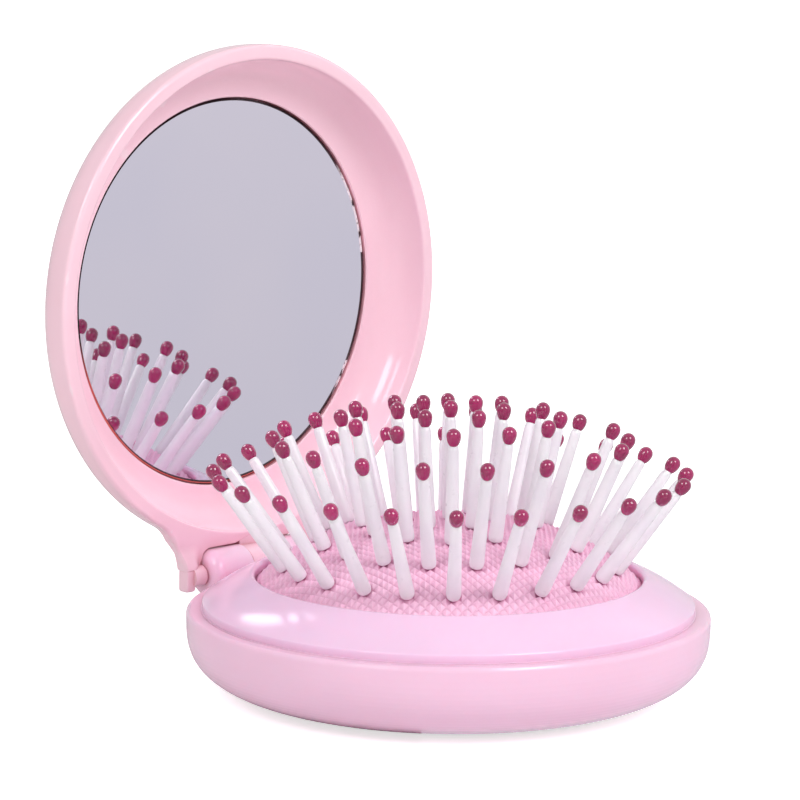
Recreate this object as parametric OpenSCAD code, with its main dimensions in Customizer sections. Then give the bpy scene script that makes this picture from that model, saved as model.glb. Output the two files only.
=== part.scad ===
// Folding pocket hairbrush with a mirror in its lid.
// The base is a round dish. A ring snapped into it clamps the edge of a domed rubber pad, and
// the pad carries five circles of ball-tipped bristles. A button bonded under the pad is pushed
// up from below to pop the brush out, and goes back flush when the pad is pressed in.
// The lid is the dish's twin. It swings on a pin behind the rim and holds the mirror.
// Origin: centre of the base on the table. +Z up, hinge on the +Y side. Drawn open, brush out.

/* [Case] */
// Outer radius of the base and of the lid
case_r = 35; // [34.5:0.5:37]
// Height of the base's rim above the table
rim_h = 11.2; // [10.8:0.1:12]
// Radius of the flat that the base stands on
foot_r = 20.5; // [19:0.5:22]
// How squarely the side wall turns into the flat, 2 being an ellipse
side_fullness = 3.24; // [2.4:0.02:4]
// Height of the rounding on the rim's outer edge
edge_round = 0.6; // [0.4:0.1:0.9]
// Wall thickness of the base
base_wall = 1.9; // [1.6:0.1:2.1]
// Width of the base's rim
rim_w = 2.25; // [2.1:0.05:2.5]

/* [Frame ring] */
// Radius of the opening that the pad shows through
opening_r = 25.85; // [25:0.05:26.5]
// Height of the opening's edge above the rim
opening_h = 4.6; // [4.2:0.1:5]
// Height of the upright step where the ring meets the rim
step_h = 1.1; // [0.8:0.1:1.3]
// Depth of the ring's skirt inside the base
skirt_h = 4; // [3.5:0.1:4.5]

/* [Pad] */
// Height of the pad's crown above the rim
crown_h = 12.3; // [11.5:0.1:13]
// Height above the rim at which the dome would meet the opening's edge
dome_edge_h = 3.6; // [3.2:0.1:3.8]
// Share of the dome's fall that comes close to its edge
dome_fullness = 0.49; // [0:0.01:0.8]
// Thickness of the rubber
pad_t = 1.2; // [1:0.1:1.4]
// Turn of the bristle pattern from the +X axis
pattern_turn = 15.7; // [0:0.1:30]

/* [Bristles] */
// Number of bristles in the circles, from the inner one outwards
ring_counts = [6, 12, 18, 24]; // [4:1:28]
// Radii of the circles where the bristles leave the pad
ring_radii = [5.8, 11.5, 17.6, 22.6]; // [4:0.1:23]
// Length from the pad to the middle of the ball
bristle_len = 14.9; // [13:0.1:15.5]
// Radius of a bristle at its root
root_r = 0.98; // [0.85:0.01:1.1]
// Radius of a bristle under its ball
neck_r = 0.77; // [0.65:0.01:0.8]
// Radius of the ball on the end
ball_r = 0.95; // [0.92:0.01:1.1]
// Distance that the drop below the ball's middle reaches down the bristle
drop_h = 1.25; // [1:0.05:1.6]

/* [Button] */
// Radius of the button under the pad
button_r = 12.3; // [11:0.1:13]
// Height of the button's edge
button_edge = 1.2; // [1:0.1:1.6]
// Depth of the hollow for the thumb
thumb_dip = 1; // [0.6:0.1:1.2]

/* [Lid] */
// Depth of the lid behind its lip
lid_depth = 9; // [8.8:0.1:10]
// Width of the lip
lip_w = 2.05; // [1.8:0.05:2.3]
// Radius of the mirror
mirror_r = 27.1; // [26:0.1:27.5]
// Distance of the mirror's face behind the lip
mirror_set = 6.46; // [6.2:0.02:6.5]
// Thickness of the mirror
mirror_t = 1.1; // [1:0.1:1.3]

/* [Hinge] */
// Distance of the hinge's axis from the centre of the base
hinge_reach = 38; // [37.8:0.1:38.5]
// Angle that the lid stands open
open_angle = 89.3; // [80:0.1:95]
// Radius of the knuckles on the base
knuckle_r = 3.4; // [3.1:0.05:3.5]
// Distance from the middle to a knuckle's outer end
knuckle_out = 9.9; // [9.4:0.1:10.4]
// Rounding of a knuckle's outer end
knuckle_round = 1.7; // [1.2:0.1:1.7]
// Half the distance between the outer faces of the lid's two legs
leg_out = 13.5; // [13.2:0.1:14.5]
// Width of one leg
leg_w = 1.6; // [1.4:0.1:1.8]
// Thickness of one leg where the pin goes through it
leg_t = 1.9; // [1.8:0.05:2.1]
// Half the width of the lid's middle tongue
tongue_half = 2.8; // [2.4:0.1:3.4]
// Radius of the hinge pin
pin_r = 0.5; // [0.4:0.05:0.6]

/* [Hidden] */

eps = 0.01;          // overlap that keeps cuts clean
far = 60;            // longer than anything here
round_fn = 96;       // smoothness of round faces
profile_steps = 24;  // steps along a curved outline
short_steps = 12;    // steps along a short one

shut_gap = 0.16;     // gap between the rims when shut
hinge_h = rim_h + shut_gap / 2;
lip_h = rim_h + shut_gap;

rim_in = case_r - rim_w;         // inside of the base's rim
fit_gap = 0.12;                  // gap round the ring's skirt
frame_r = rim_in - fit_gap;      // outside of the frame ring's skirt
skirt_t = 1.4;
skirt_in = frame_r - skirt_t;
seat_gap = 0.05;                 // gap between faces that rest on each other
snap_d = 0.22;                   // how far the snap bead stands out
snap_at = skirt_h - 1;           // depth of the snap bead below the rim
frame_lift = 2.4;                // underside of the frame ring at the opening, above the rim
flange_t = 1.1;                  // pad's flange
flange_r = opening_r + 2.35;
flange_gap = 0.2;                // room round the flange's edge
clamp_t = 1.2;                   // clamp ring
clamp_in = opening_r - 1.85;
clamp_top = frame_lift - flange_t - 2 * seat_gap;
bead_h = 0.4;
lip_round = 0.9;                 // rounding of the opening's edge
lip_start = 63;                  // angle at which that rounding leaves the cone
lip_drop = 0.2;                  // its crest below the height of the edge

pad_side_r = opening_r - 0.35;   // pad's outside where it goes through the opening
pad_side_in = pad_side_r - pad_t;

bristle_gap = 0.02;              // gap between a bristle's foot and the pad
foot_round = 0.35;
tip_cap = 0.3;                   // bristle's end below the ball's middle
tip_fit = 0.02;

hole_gap = 0.3;                  // gap round the button in the floor
hole_r = button_r + hole_gap;
floor_top = base_wall;
collar_t = 1.2;
collar_h = 4.4;
rib_count = 12;
rib_t = 1.2;
rib_in = skirt_in - 0.4;         // ribs reach in past the ring's skirt
bond_gap = 0.15;                 // bond line between the button and the pad
button_bottom = rim_h + dome_z(button_r) - pad_drop(button_r) - bond_gap - button_edge;

lip_in = case_r - lip_w;
mirror_inset = 0.26;             // mirror's face behind the flat ring round it
lid_ring_h = mirror_set - mirror_inset;
lid_ring_w = 0.9;
mirror_gap = 0.2;                // gap round the mirror
pocket_r = mirror_r + mirror_gap;
lid_ring_r = pocket_r + lid_ring_w;
glue_t = 0.15;
glue_margin = 2;                 // glue's edge inside the mirror's
pocket_h = mirror_set + mirror_t + glue_t + 2 * seat_gap;

knuckle_gap = 0.2;               // side gap between knuckles, legs and tongue
knuckle_in = tongue_half + knuckle_gap;
leg_in = leg_out - leg_w;
notch_r = knuckle_r + 0.25;      // lid's cut round the knuckles
notch_out = knuckle_out + knuckle_gap;
tongue_r = knuckle_r - 0.2;      // round end of the tongue
running_gap = 0.05;              // pin in the lid
press_gap = 0.025;               // pin in the base
leg_reach = 2;                   // leg's end beyond the axis
leg_step = 1.1;                  // edge of the lid beside a leg, before the axis
leg_ramp = 4.6;                  // where a leg starts to grow thicker, before the axis
leg_skin = 0.75;                 // closed end of the pin's hole in the -X leg
boss_r = 1.5;                    // round boss between a leg and its knuckle
heel_w = 2;                      // half the width of the heel that stops the open lid
heel_near = 1.4;                 // heel's near and far sides beyond the axis
heel_end = 3.2;
stop_gap = 0.12;                 // gap between the heel and the wall when open
heel_drop = hinge_reach - case_r - stop_gap;
flare_r = 9;                     // hollow curve where the lid runs out into its legs
notch_round = 0.5;               // rounding in the corners beside the legs
web_inset = 1.2;                 // knuckle's web behind its round end

// ---- outlines ----

// Radius of a dish's outside, u being the share of its depth below the edge rounding.
function dish_r(u, flat) = flat + (case_r - flat) * sqrt(max(0, 1 - pow(u, side_fullness)));

// Outline of a dish's outside from its flat up to the rim: [radius, depth below the rim].
function dish_points(depth) = concat(
    [for (k = [profile_steps : -1 : 0])
        let (u = pow(sin(90 * k / profile_steps), 0.8))
        [dish_r(u, foot_r), edge_round + (depth - edge_round) * u]],
    [for (k = [1 : 4])
        let (a = 90 * k / 4)
        [case_r - edge_round * (1 - cos(a)), edge_round * (1 - sin(a))]]);

// Inside of the base's wall, from the floor up.
function base_inside_points() =
    [for (k = [profile_steps : -1 : 0])
        let (u = pow(sin(90 * k / profile_steps), 0.8), flat = foot_r - 1)
        [flat + (case_r - base_wall - flat) * sqrt(max(0, 1 - pow(u, side_fullness))),
         skirt_h - 1 + (rim_h - floor_top - skirt_h + 1) * u]];

// Height of the pad's outer face above the rim at radius r.
function dome_z(r) =
    let (q = r / opening_r)
    crown_h - (crown_h - dome_edge_h) * ((1 - dome_fullness) * pow(q, 2) + dome_fullness * pow(q, 4));

// Slope of the pad's outer face at radius r, as an angle.
function dome_tilt(r) =
    let (q = r / opening_r)
    atan((crown_h - dome_edge_h) / opening_r
         * (2 * (1 - dome_fullness) * q + 4 * dome_fullness * pow(q, 3)));

// Height from the pad's inner face to its outer face at radius r.
function pad_drop(r) = pad_t / cos(dome_tilt(r));

// ---- helpers ----

// Extrudes an outline drawn in Y and Z along X, from x0 to x1.
module along_x(x0, x1) {
    translate([x0, 0, 0]) rotate([90, 0, 90]) linear_extrude(x1 - x0) children();
}

// A round bar along the hinge's axis, from x0 to x1, with its end at x1 rounded.
module hinge_knob(r, x0, x1, end_round) {
    translate([x0, hinge_reach, hinge_h]) rotate([0, 90, 0])
        rotate_extrude($fn = round_fn) intersection() {
            square([r, x1 - x0]);
            union() {
                square([r, x1 - x0 - end_round]);
                square([r - end_round, x1 - x0]);
                translate([r - end_round, x1 - x0 - end_round]) circle(r = end_round, $fn = 48);
            }
        }
}

// A round bar along the hinge's axis, from x0 to x1.
module hinge_bar(r, x0, x1) {
    translate([x0, hinge_reach, hinge_h]) rotate([0, 90, 0])
        cylinder(r = r, h = x1 - x0, $fn = round_fn);
}

// Turns the lid's pieces from shut to open.
module opened() {
    translate([0, hinge_reach, hinge_h]) rotate([-open_angle, 0, 0])
        translate([0, -hinge_reach, -hinge_h]) children();
}

// Places children on the pad at each bristle of a circle, +Z along the bristle.
module at_bristles(ring) {
    count = ring_counts[ring];
    for (k = [0 : count - 1])
        rotate(pattern_turn + 360 * k / count)
            translate([ring_radii[ring], 0, rim_h + dome_z(ring_radii[ring])])
                rotate([0, dome_tilt(ring_radii[ring]), 0]) children();
}

module at_centre() {
    translate([0, 0, rim_h + crown_h]) children();
}

// ---- base ----

module base_hull() {
    rotate_extrude($fn = round_fn)
        polygon(concat([[0, 0]],
            [for (p = dish_points(rim_h)) [p[0], rim_h - p[1]]],
            [[0, rim_h]]));
}

module base_hollow() {
    inside = base_inside_points();
    rotate_extrude($fn = round_fn)
        polygon(concat(
            [[0, floor_top]],
            [for (p = inside) [p[0], rim_h - p[1]]],
            [[rim_in + snap_d, rim_h - snap_at - bead_h], [rim_in + snap_d, rim_h - snap_at],
             [rim_in, rim_h - snap_at + bead_h], [rim_in, rim_h - edge_round / 2],
             [rim_in + edge_round / 2, rim_h], [rim_in + edge_round / 2, rim_h + eps],
             [0, rim_h + eps]]));
}

// The +X knuckle and the web that carries it from the wall.
module base_knuckle() {
    web_slope = 0.75;
    web_angle = atan(web_slope);
    tangent = [hinge_reach + knuckle_r * sin(web_angle), hinge_h - knuckle_r * cos(web_angle)];
    web_foot = case_r - 1;
    web_root = web_foot - knuckle_r;      // inside the wall, cut away with the hollow
    web_h = tangent[1] - (tangent[0] - web_foot) * web_slope;
    hinge_knob(knuckle_r, knuckle_in, knuckle_out, knuckle_round);
    along_x(knuckle_in, knuckle_out - web_inset)
        polygon([[web_root, rim_h - edge_round], [hinge_reach, rim_h - edge_round], tangent,
                 [web_foot, web_h], [web_root, web_h]]);
}

module base_ribs() {
    intersection() {
        for (k = [0 : rib_count - 1])
            rotate(360 * (k + 0.5) / rib_count)
                translate([rib_in, -rib_t / 2, floor_top - eps])
                    cube([case_r - base_wall / 2 - rib_in, rib_t,
                          rim_h - skirt_h - seat_gap - floor_top + eps]);
        base_hull();
    }
}

module base_shell() {
    color("#e9c3dd") union() {
        difference() {
            union() {
                base_hull();
                for (side = [0, 1]) mirror([side, 0, 0]) base_knuckle();
            }
            base_hollow();
            translate([0, 0, -eps]) cylinder(r = hole_r, h = far, $fn = round_fn);
            hinge_bar(pin_r + press_gap, -far, far);
            hinge_bar(tongue_r + 2 * knuckle_gap, -knuckle_in, knuckle_in);
        }
        base_ribs();
        // collar that steers the button back into its hole
        difference() {
            translate([0, 0, floor_top - eps])
                cylinder(r = hole_r + collar_t, h = collar_h - floor_top, $fn = round_fn);
            translate([0, 0, -eps]) cylinder(r = hole_r, h = far, $fn = round_fn);
        }
    }
}

module frame_ring() {
    corner = 0.2;    // chamfer on the step
    recess_r = flange_r + flange_gap;
    color("#ecc8e4") translate([0, 0, rim_h]) rotate_extrude($fn = round_fn)
        polygon(concat(
            [[frame_r, -skirt_h],
             [frame_r, -snap_at - bead_h], [frame_r + snap_d, -snap_at - bead_h / 2],
             [frame_r, -snap_at], [frame_r, step_h - corner], [frame_r - corner, step_h]],
            [for (k = [0 : 6])
                let (a = lip_start + (180 - lip_start) * k / 6)
                [opening_r + lip_round + lip_round * cos(a),
                 opening_h - lip_drop - lip_round + lip_round * sin(a)]],
            [[opening_r, frame_lift], [recess_r, frame_lift], [recess_r, clamp_top],
             [skirt_in, clamp_top],
             [skirt_in, clamp_top - clamp_t - seat_gap],
             [skirt_in - snap_d, clamp_top - clamp_t - seat_gap - bead_h / 2],
             [skirt_in, clamp_top - clamp_t - seat_gap - bead_h],
             [skirt_in, -skirt_h]]));
}

module pad_clamp_ring() {
    grip = 0.35;     // groove width of the ring's biting ridge
    color("#d9b0cf") translate([0, 0, rim_h + clamp_top - clamp_t - seat_gap / 2])
        rotate_extrude($fn = round_fn)
            polygon([[clamp_in, 0], [skirt_in - fit_gap, 0], [skirt_in - fit_gap, clamp_t],
                     [clamp_in + grip, clamp_t], [clamp_in, clamp_t - grip]]);
}

// The pin goes in from the +X side. The -X leg is closed outside.
module hinge_pin() {
    color("silver") hinge_bar(pin_r, leg_skin + running_gap - leg_out, leg_out - running_gap);
}

// ---- lid, drawn shut and turned open ----

module lid_hull() {
    translate([0, 0, lip_h]) rotate_extrude($fn = round_fn)
        polygon(concat([[0, lid_depth]],
            [for (p = dish_points(lid_depth)) [p[0], p[1]]],
            [[0, 0]]));
}

module lid_hollow() {
    translate([0, 0, lip_h]) rotate_extrude($fn = round_fn)
        polygon(concat(
            [[0, -eps], [lip_in + edge_round / 2, -eps]],
            [for (k = [0 : profile_steps])
                let (a = 90 * k / profile_steps)
                [lid_ring_r + (lip_in - lid_ring_r) * cos(a),
                 edge_round / 2 + (lid_ring_h - edge_round / 2) * sin(a)]],
            [[pocket_r, lid_ring_h], [pocket_r, pocket_h], [0, pocket_h]]));
}

// Outline seen from above of the part of the lid that runs out to the hinge.
module lid_skirt_outline() {
    flare_x = leg_out + flare_r;
    flare_y = sqrt(pow(case_r + flare_r, 2) - pow(flare_x, 2));
    touch = case_r / (case_r + flare_r);   // where the hollow curve meets the case
    root_y = lid_ring_r - edge_round;
    difference() {
        union() {
            translate([-leg_out, root_y]) square([2 * leg_out, hinge_reach - root_y]);
            translate([-flare_x * touch, root_y])
                square([2 * flare_x * touch, flare_y - root_y]);
        }
        for (side = [-1, 1])
            translate([side * flare_x, flare_y]) circle(r = flare_r, $fn = 64);
    }
}

// The cut between the +X leg and the tongue, seen from above. It follows the knuckle's round end
// and then steps out to the leg.
module notch_outline() {
    side_gap = notch_r - knuckle_r;
    corner_x = knuckle_out - knuckle_round;
    corner_y = hinge_reach - knuckle_r + knuckle_round;
    edge_y = hinge_reach - leg_step;
    translate([corner_x, corner_y]) circle(r = knuckle_round + side_gap, $fn = 48);
    translate([tongue_half, corner_y]) square([notch_out - tongue_half, far]);
    translate([tongue_half, edge_y + notch_round]) square([leg_in - tongue_half, far]);
    translate([corner_x, edge_y]) square([leg_in - corner_x - notch_round, far]);
    translate([leg_in - notch_round, edge_y + notch_round]) circle(r = notch_round, $fn = 32);
}

// The -X or +X leg's thick end, from the lip's face to the round end.
module lid_leg(x0, x1) {
    half = leg_t / 2;
    end_y = hinge_reach + leg_reach - half;
    along_x(x0, x1)
        polygon(concat(
            [[hinge_reach - leg_ramp, lip_h], [hinge_reach - leg_step, hinge_h - half]],
            [for (k = [0 : 8])
                let (a = -90 + 180 * k / 8)
                [end_y + half * cos(a), hinge_h + half * sin(a)]],
            [[hinge_reach - leg_step, hinge_h + half],
             [hinge_reach - leg_ramp, hinge_h + half + edge_round]]));
}

module lid_skirt() {
    wall_top = 3.6;      // height at which the skirt leaves the wall, above the lip
    mid_top = 2.4;
    intersection() {
        translate([0, 0, lip_h]) linear_extrude(lid_depth) lid_skirt_outline();
        translate([0, 0, lip_h]) rotate_extrude($fn = round_fn)
            polygon([[0, 0], [hinge_reach + leg_reach, 0], [hinge_reach + leg_reach, leg_t / 2],
                     [hinge_reach - edge_round, leg_t / 2], [case_r + edge_round, mid_top],
                     [case_r - edge_round, wall_top], [0, wall_top]]);
    }
    lid_leg(-leg_out, -leg_in);
    lid_leg(leg_in, leg_out);
    // tongue with the heel that meets the base's wall when the lid stands open
    hinge_bar(tongue_r, -tongue_half, tongue_half);
    along_x(-tongue_half, tongue_half)
        polygon([[case_r - lip_w, lip_h], [hinge_reach, lip_h], [hinge_reach, hinge_h + tongue_r],
                 [case_r - lip_w, hinge_h + tongue_r + edge_round]]);
    translate([-heel_w, hinge_reach + heel_near, hinge_h - heel_drop])
        cube([2 * heel_w, heel_end - heel_near, heel_drop]);
}

module lid_shell() {
    color("#f3c6d6") opened() {
        difference() {
            union() {
                lid_hull();
                lid_skirt();
            }
            lid_hollow();
            hinge_bar(pin_r + running_gap, leg_skin - leg_out, far);
            for (side = [0, 1]) mirror([side, 0, 0]) {
                hinge_knob(notch_r, tongue_half, notch_out, notch_r - knuckle_r + knuckle_round);
                translate([0, 0, rim_h - 2 * knuckle_r])
                    linear_extrude(4 * knuckle_r) notch_outline();
            }
        }
        leg_bosses();
    }
}

// Bosses that fill the gap between the legs and the knuckles and hide the pin.
module leg_bosses() {
    difference() {
        for (side = [0, 1]) mirror([side, 0, 0]) hinge_bar(boss_r, notch_out, leg_in + eps);
        hinge_bar(pin_r + running_gap, -far, far);
    }
}

module mirror_glass() {
    color("#c8c4d2") opened() translate([0, 0, lip_h + mirror_set])
        cylinder(r = mirror_r, h = mirror_t, $fn = round_fn);
}

module mirror_adhesive() {
    color("#f4f0ee") opened() translate([0, 0, lip_h + mirror_set + mirror_t + seat_gap])
        cylinder(r = mirror_r - glue_margin, h = glue_t, $fn = round_fn);
}

// ---- brush ----

module bristle_pad() {
    outside = [for (k = [0 : profile_steps])
        let (r = pad_side_r * k / profile_steps)
        [r, dome_z(r)]];
    inside = [for (k = [profile_steps : -1 : 0])
        let (r = pad_side_in * k / profile_steps) [r, dome_z(r) - pad_drop(r)]];
    flange_top = frame_lift - seat_gap;
    color("#f2a9cf") translate([0, 0, rim_h]) rotate_extrude($fn = round_fn)
        polygon(concat(outside,
            [[pad_side_r, flange_top], [flange_r, flange_top], [flange_r, flange_top - flange_t],
             [pad_side_in, flange_top - flange_t]],
            inside));
}

module push_button() {
    top = [for (k = [0 : short_steps])
        let (r = button_r * k / short_steps)
        [r, rim_h + dome_z(r) - pad_drop(r) - bond_gap]];
    rim = 1.6;       // flat round the thumb hollow
    corner = 0.4;
    dip_r = button_r - rim;
    dip = [for (k = [0 : short_steps])
        let (a = 90 * k / short_steps)
        [dip_r * cos(a), button_bottom + thumb_dip * sin(a)]];
    color("#e58fbf") rotate_extrude($fn = round_fn)
        polygon(concat(top, [[button_r, button_bottom + corner], [button_r - corner, button_bottom]], dip));
}

// One bristle, rising along +Z from the pad, with a round foot and a long taper.
module bristle() {
    rotate_extrude($fn = 24)
        polygon([[0, bristle_gap], [root_r - foot_round, bristle_gap],
                 [root_r, bristle_gap + foot_round],
                 [neck_r, bristle_len - tip_cap], [0, bristle_len - tip_cap]]);
}

// The drop of resin on a bristle's end: a ball that draws down round the bristle.
module ball_tip() {
    skirt_r = neck_r + 3 * tip_fit;
    bore_r = neck_r + tip_fit;
    translate([0, 0, bristle_len]) difference() {
        union() {
            sphere(r = ball_r, $fn = 32);
            translate([0, 0, -drop_h])
                cylinder(r1 = skirt_r, r2 = ball_r - tip_fit, h = drop_h, $fn = 32);
        }
        translate([0, 0, -2 * drop_h])
            cylinder(r = bore_r, h = 2 * drop_h - tip_cap + tip_fit, $fn = 24);
    }
}

module pin_centre() { color("#efe7f1") at_centre() bristle(); }
module pins_inner() { color("#efe7f1") at_bristles(0) bristle(); }
module pins_third() { color("#efe7f1") at_bristles(1) bristle(); }
module pins_second() { color("#efe7f1") at_bristles(2) bristle(); }
module pins_outer() { color("#efe7f1") at_bristles(3) bristle(); }

module tip_centre() { color("#8d1f5e") at_centre() ball_tip(); }
module tips_inner() { color("#8d1f5e") at_bristles(0) ball_tip(); }
module tips_third() { color("#8d1f5e") at_bristles(1) ball_tip(); }
module tips_second() { color("#8d1f5e") at_bristles(2) ball_tip(); }
module tips_outer() { color("#8d1f5e") at_bristles(3) ball_tip(); }

base_shell();
frame_ring();
pad_clamp_ring();
hinge_pin();
lid_shell();
mirror_glass();
mirror_adhesive();
bristle_pad();
push_button();
pin_centre();
pins_inner();
pins_third();
pins_second();
pins_outer();
tip_centre();
tips_inner();
tips_third();
tips_second();
tips_outer();
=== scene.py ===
"""Looks of a folding pocket hairbrush whose lid holds a mirror.

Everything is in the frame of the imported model: metres, +Z up, the centre of the base on the table
at the origin, the hinge behind it on the +Y side. Sizes in the classes below are millimetres.
"""
import logging
import math
from dataclasses import dataclass, field
from enum import Enum
from typing import Callable, Sequence

import bmesh
import bpy
import numpy as np
from mathutils import Matrix, Vector


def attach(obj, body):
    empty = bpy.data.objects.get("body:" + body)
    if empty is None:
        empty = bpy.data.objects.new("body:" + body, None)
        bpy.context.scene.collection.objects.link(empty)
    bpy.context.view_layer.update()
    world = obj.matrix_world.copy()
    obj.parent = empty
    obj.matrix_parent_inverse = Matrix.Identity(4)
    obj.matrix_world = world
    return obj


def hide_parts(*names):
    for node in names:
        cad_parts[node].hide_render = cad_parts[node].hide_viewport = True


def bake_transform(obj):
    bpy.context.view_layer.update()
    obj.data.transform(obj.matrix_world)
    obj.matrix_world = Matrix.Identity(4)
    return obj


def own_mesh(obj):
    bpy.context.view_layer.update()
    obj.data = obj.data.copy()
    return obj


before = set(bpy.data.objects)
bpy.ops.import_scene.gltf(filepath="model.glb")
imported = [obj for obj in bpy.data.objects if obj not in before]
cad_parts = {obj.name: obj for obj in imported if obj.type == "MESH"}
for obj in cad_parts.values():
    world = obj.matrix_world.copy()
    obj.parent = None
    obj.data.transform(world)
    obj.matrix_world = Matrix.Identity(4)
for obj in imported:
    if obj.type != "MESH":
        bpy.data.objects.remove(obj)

log = logging.getLogger("hairbrush")

MM = 0.001
Point2 = tuple[float, float]
Point3 = tuple[float, float, float]
Rgba = tuple[float, float, float, float]
Faces = list[tuple[int, ...]]
Shape = tuple[np.ndarray, Faces]
Node = bpy.types.Node
Socket = bpy.types.NodeSocket
Material = bpy.types.Material
Piece = bpy.types.Object


# ---- shape helpers ----

def rounded(points: Sequence[Point2], radii: Sequence[float], steps: int = 6) -> list[Point2]:
    """Round the corners of an open outline with arcs.

    Args:
        points: Corners of the outline, in order.
        radii: One radius for each corner; 0 leaves it sharp. The two ends stay as they are.
        steps: Short lines that make up one arc.

    Returns:
        The points of the rounded outline.
    """
    out: list[Point2] = [points[0]]
    for before, here, after, radius in zip(points, points[1:], points[2:], radii[1:]):
        corner = Vector(here)
        to_a, to_b = Vector(before) - corner, Vector(after) - corner
        turn = math.pi - to_a.angle(to_b)
        if radius <= 0 or turn < 1e-3:
            out.append(here)
            continue
        reach = min(radius * math.tan(turn / 2), 0.49 * to_a.length, 0.49 * to_b.length)
        radius = reach / math.tan(turn / 2)
        start = corner + to_a.normalized() * reach
        middle = corner + (to_a.normalized() + to_b.normalized()).normalized() \
            * radius / math.cos(turn / 2)
        spoke = start - middle
        side = 1 if to_a.x * to_b.y - to_a.y * to_b.x < 0 else -1
        for k in range(steps + 1):
            a = side * turn * k / steps
            out.append((middle.x + spoke.x * math.cos(a) - spoke.y * math.sin(a),
                        middle.y + spoke.x * math.sin(a) + spoke.y * math.cos(a)))
    out.append(points[-1])
    return out


def revolve_grid(outline: Sequence[Point2], segments: int, closed: bool = False) -> Shape:
    """Turn an outline of (radius, height) round the Z axis.

    Args:
        outline: Points from one end of the outline to the other.
        segments: Steps round the circle.
        closed: Whether the last point joins the first.

    Returns:
        The corners, in millimetres, and the faces that join them.
    """
    verts: list[Point3] = []
    rows: list[list[int]] = []
    for radius, height in outline:
        if radius < 1e-6:
            rows.append([len(verts)] * segments)
            verts.append((0.0, 0.0, height))
            continue
        rows.append(list(range(len(verts), len(verts) + segments)))
        for k in range(segments):
            a = 2 * math.pi * k / segments
            verts.append((radius * math.cos(a), radius * math.sin(a), height))
    faces: Faces = []
    pairs = list(zip(rows, rows[1:])) + ([(rows[-1], rows[0])] if closed else [])
    for low, high in pairs:
        for k in range(segments):
            n = (k + 1) % segments
            face = tuple(dict.fromkeys((low[k], low[n], high[n], high[k])))
            if len(face) > 2:
                faces.append(face)
    return np.array(verts), faces


def rounded_box(x0: float, y0: float, x1: float, y1: float, radius: float,
                steps: int = 4) -> list[Point2]:
    """Return a closed rectangle whose corners are rounded.

    Args:
        x0: Left side.
        y0: Lower side.
        x1: Right side.
        y1: Upper side.
        radius: Radius of the corners.
        steps: Short lines that make up one corner.

    Returns:
        The points, once round.
    """
    out: list[Point2] = []
    for cx, cy, start in ((x1 - radius, y1 - radius, 0), (x0 + radius, y1 - radius, 1),
                          (x0 + radius, y0 + radius, 2), (x1 - radius, y0 + radius, 3)):
        for k in range(steps + 1):
            a = math.pi / 2 * (start + k / steps)
            out.append((cx + radius * math.cos(a), cy + radius * math.sin(a)))
    return out


def placed(verts: np.ndarray, matrix: Matrix) -> np.ndarray:
    """Return the corners moved by a matrix."""
    m = np.array(matrix)
    return verts @ m[:3, :3].T + m[:3, 3]


def mesh_piece(name: str, verts: np.ndarray, faces: Sequence[tuple[int, ...]],
               smooth: float = 35.0) -> Piece:
    """Make a mesh object from corners in millimetres.

    Args:
        name: Name of the piece.
        verts: Corners, in millimetres in the model's frame.
        faces: Corner numbers of each face.
        smooth: Edges that turn more than this many degrees stay sharp.

    Returns:
        The new object, in the scene's own collection.
    """
    mesh = bpy.data.meshes.new(name)
    mesh.from_pydata((verts * MM).tolist(), [], [tuple(f) for f in faces])
    work = bmesh.new()
    work.from_mesh(mesh)
    bmesh.ops.remove_doubles(work, verts=work.verts, dist=1e-7)
    bmesh.ops.recalc_face_normals(work, faces=work.faces)
    work.to_mesh(mesh)
    work.free()
    mesh.update()
    mesh.shade_smooth()
    mesh.set_sharp_from_angle(angle=math.radians(smooth))
    piece = bpy.data.objects.new(name, mesh)
    bpy.context.scene.collection.objects.link(piece)
    return piece


def joined(parts: Sequence[Shape]) -> Shape:
    """Put several sets of corners and faces into one."""
    verts: list[np.ndarray] = []
    faces: Faces = []
    count = 0
    for some, its_faces in parts:
        verts.append(some)
        faces += [tuple(i + count for i in f) for f in its_faces]
        count += len(some)
    return np.concatenate(verts), faces


def quads(rings: int, n: int) -> Faces:
    """Return the faces between closed rings of n points each."""
    return [(a * n + k, a * n + (k + 1) % n, (a + 1) * n + (k + 1) % n, (a + 1) * n + k)
            for a in range(rings - 1) for k in range(n)]


def loft(rings: Sequence[Sequence[Point3]]) -> Shape:
    """Join closed rings of equally many points and cap both ends."""
    n = len(rings[0])
    caps = [tuple(range(n)), tuple(range((len(rings) - 1) * n, len(rings) * n))]
    return np.array([p for ring in rings for p in ring]), quads(len(rings), n) + caps


# ---- node helpers ----

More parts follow.
